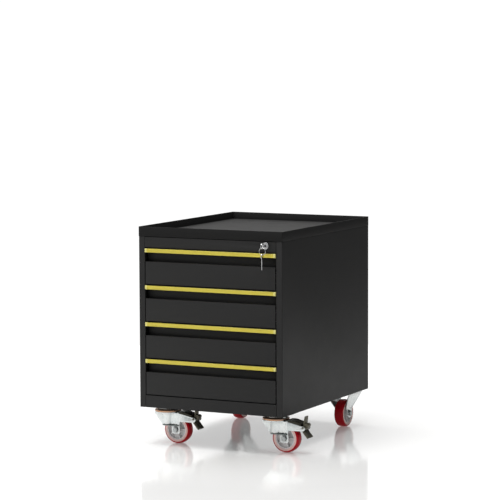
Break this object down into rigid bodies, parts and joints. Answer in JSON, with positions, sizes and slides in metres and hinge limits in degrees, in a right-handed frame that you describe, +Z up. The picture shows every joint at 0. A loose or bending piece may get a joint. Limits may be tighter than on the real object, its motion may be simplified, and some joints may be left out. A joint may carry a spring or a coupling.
{
  "type": "mobile tool cabinet",
  "caption": "Low sheet-steel tool cabinet with a tray top, a stack of full-width drawers, one central lock, braked swivel castors in front and fixed castors behind.",
  "frame": {"origin": "on the floor, under the middle of the cabinet body", "axes": "+X to the user's right, +Y from the drawer fronts to the back, +Z up"},
  "size_m": [0.5598, 0.6813, 0.69],
  "materials": {
    "body_paint": "fine-textured charcoal powder coat",
    "tray_paint": "fine-textured charcoal powder coat, a little lighter where it faces up",
    "handle_yellow": "satin yellow coating",
    "rail_steel": "bright zinc-plated rolled steel",
    "zinc": "bright zinc plating",
    "race_copper": "copper-tinted passivated steel",
    "lock_chrome": "polished nickel plating",
    "tyre_red": "satin red polyurethane",
    "rim_aluminium": "satin die-cast aluminium",
    "brake_black": "dark olive-black plating"
  },
  "bodies": {
    "root": {"side_panel_left": "body_paint", "side_panel_right": "body_paint", "back_panel": "body_paint", "bottom_panel": "body_paint", "bottom_rail": "body_paint", "top_tray": "tray_paint", "lock_fascia": "body_paint", "slide_rails_left": "rail_steel", "slide_rails_right": "rail_steel", "lock_housing": "lock_chrome", "castor_bolts": "zinc", "castor_plate_left": "zinc", "castor_plate_right": "zinc", "swivel_rings": "race_copper", "kingpins": "zinc", "rear_bracket_left": "zinc", "rear_bracket_right": "zinc", "rear_axles": "zinc"},
    "lock_bar": {"lock_bar": "zinc"},
    "lock_plug": {"lock_plug": "lock_chrome", "lock_cam": "zinc", "key": "lock_chrome"},
    "key_ring": {"key_ring": "lock_chrome"},
    "spare_key": {"spare_key": "lock_chrome"},
    "drawer_1": {"drawer_1_front": "body_paint", "drawer_1_box": "body_paint", "drawer_1_handle": "handle_yellow", "drawer_1_inner_rails": "rail_steel"},
    "drawer_1_mid": {"drawer_1_mid_rails": "rail_steel"},
    "drawer_2": {"drawer_2_front": "body_paint", "drawer_2_box": "body_paint", "drawer_2_handle": "handle_yellow", "drawer_2_inner_rails": "rail_steel"},
    "drawer_2_mid": {"drawer_2_mid_rails": "rail_steel"},
    "drawer_3": {"drawer_3_front": "body_paint", "drawer_3_box": "body_paint", "drawer_3_handle": "handle_yellow", "drawer_3_inner_rails": "rail_steel"},
    "drawer_3_mid": {"drawer_3_mid_rails": "rail_steel"},
    "drawer_4": {"drawer_4_front": "body_paint", "drawer_4_box": "body_paint", "drawer_4_handle": "handle_yellow", "drawer_4_inner_rails": "rail_steel"},
    "drawer_4_mid": {"drawer_4_mid_rails": "rail_steel"},
    "castor_left": {"fork_left": "zinc", "front_axle_left": "zinc"},
    "brake_lever_left": {"brake_lever_left": "brake_black"},
    "brake_pedal_left": {"brake_pedal_left": "brake_black"},
    "front_wheel_left": {"front_tyre_left": "tyre_red", "front_rim_left": "rim_aluminium"},
    "rear_wheel_left": {"rear_tyre_left": "tyre_red", "rear_rim_left": "rim_aluminium"},
    "castor_right": {"fork_right": "zinc", "front_axle_right": "zinc"},
    "brake_lever_right": {"brake_lever_right": "brake_black"},
    "brake_pedal_right": {"brake_pedal_right": "brake_black"},
    "front_wheel_right": {"front_tyre_right": "tyre_red", "front_rim_right": "rim_aluminium"},
    "rear_wheel_right": {"rear_tyre_right": "tyre_red", "rear_rim_right": "rim_aluminium"}
  },
  "joints": [
    {"name": "drawer_1_slide", "type": "slide", "parent": "root", "child": "drawer_1", "axis": [0, -1, 0], "range_m": [0, 0.55]},
    {"name": "drawer_1_mid_slide", "type": "slide", "parent": "root", "child": "drawer_1_mid", "axis": [0, -1, 0], "range_m": [0, 0.275]},
    {"name": "drawer_2_slide", "type": "slide", "parent": "root", "child": "drawer_2", "axis": [0, -1, 0], "range_m": [0, 0.55]},
    {"name": "drawer_2_mid_slide", "type": "slide", "parent": "root", "child": "drawer_2_mid", "axis": [0, -1, 0], "range_m": [0, 0.275]},
    {"name": "drawer_3_slide", "type": "slide", "parent": "root", "child": "drawer_3", "axis": [0, -1, 0], "range_m": [0, 0.55]},
    {"name": "drawer_3_mid_slide", "type": "slide", "parent": "root", "child": "drawer_3_mid", "axis": [0, -1, 0], "range_m": [0, 0.275]},
    {"name": "drawer_4_slide", "type": "slide", "parent": "root", "child": "drawer_4", "axis": [0, -1, 0], "range_m": [0, 0.55]},
    {"name": "drawer_4_mid_slide", "type": "slide", "parent": "root", "child": "drawer_4_mid", "axis": [0, -1, 0], "range_m": [0, 0.275]},
    {"name": "lock_turn", "type": "hinge", "parent": "root", "child": "lock_plug", "pos_m": [0.193, -0.3243, 0.6455], "axis": [0, -1, 0], "range_deg": [0, 90]},
    {"name": "bar_lift", "type": "slide", "parent": "root", "child": "lock_bar", "axis": [0, 0, 1], "range_m": [0, 0.0099]},
    {"name": "ring_swing", "type": "hinge", "parent": "lock_plug", "child": "key_ring", "pos_m": [0.193, -0.3463, 0.641], "axis": [0, 1, 0], "range_deg": [-30, 30]},
    {"name": "spare_key_swing", "type": "hinge", "parent": "key_ring", "child": "spare_key", "pos_m": [0.193, -0.3463, 0.62], "axis": [1, 0, 0], "range_deg": [-40, 12]},
    {"name": "swivel_left", "type": "hinge", "parent": "root", "child": "castor_left", "pos_m": [-0.19, -0.248, 0.1], "axis": [0, 0, 1], "continuous": true},
    {"name": "pedal_left", "type": "hinge", "parent": "castor_left", "child": "brake_pedal_left", "pos_m": [-0.089, -0.248, 0.083], "axis": [0, 1, 0], "range_deg": [0, 18]},
    {"name": "lever_left", "type": "hinge", "parent": "castor_left", "child": "brake_lever_left", "pos_m": [-0.144, -0.248, 0.101], "axis": [0, 1, 0], "range_deg": [0, 1.3]},
    {"name": "front_wheel_left_spin", "type": "hinge", "parent": "castor_left", "child": "front_wheel_left", "pos_m": [-0.152, -0.248, 0.045], "axis": [0, 1, 0], "continuous": true},
    {"name": "rear_wheel_left_spin", "type": "hinge", "parent": "root", "child": "rear_wheel_left", "pos_m": [-0.19, 0.26, 0.045], "axis": [1, 0, 0], "continuous": true},
    {"name": "swivel_right", "type": "hinge", "parent": "root", "child": "castor_right", "pos_m": [0.19, -0.248, 0.1], "axis": [0, 0, 1], "continuous": true},
    {"name": "pedal_right", "type": "hinge", "parent": "castor_right", "child": "brake_pedal_right", "pos_m": [0.291, -0.248, 0.083], "axis": [0, 1, 0], "range_deg": [0, 18]},
    {"name": "lever_right", "type": "hinge", "parent": "castor_right", "child": "brake_lever_right", "pos_m": [0.236, -0.248, 0.101], "axis": [0, 1, 0], "range_deg": [0, 1.3]},
    {"name": "front_wheel_right_spin", "type": "hinge", "parent": "castor_right", "child": "front_wheel_right", "pos_m": [0.228, -0.248, 0.045], "axis": [0, 1, 0], "continuous": true},
    {"name": "rear_wheel_right_spin", "type": "hinge", "parent": "root", "child": "rear_wheel_right", "pos_m": [0.19, 0.26, 0.045], "axis": [1, 0, 0], "continuous": true}
  ],
  "couplings": [
    {"joint": "drawer_1_mid_slide", "follows": "drawer_1_slide", "ratio": 0.5},
    {"joint": "drawer_2_mid_slide", "follows": "drawer_2_slide", "ratio": 0.5},
    {"joint": "drawer_3_mid_slide", "follows": "drawer_3_slide", "ratio": 0.5},
    {"joint": "drawer_4_mid_slide", "follows": "drawer_4_slide", "ratio": 0.5},
    {"joint": "lock_turn", "follows": "bar_lift", "rad_per_m": 158.67},
    {"joint": "lever_left", "follows": "pedal_left", "ratio": 0.0722},
    {"joint": "lever_right", "follows": "pedal_right", "ratio": 0.0722}
  ]
}
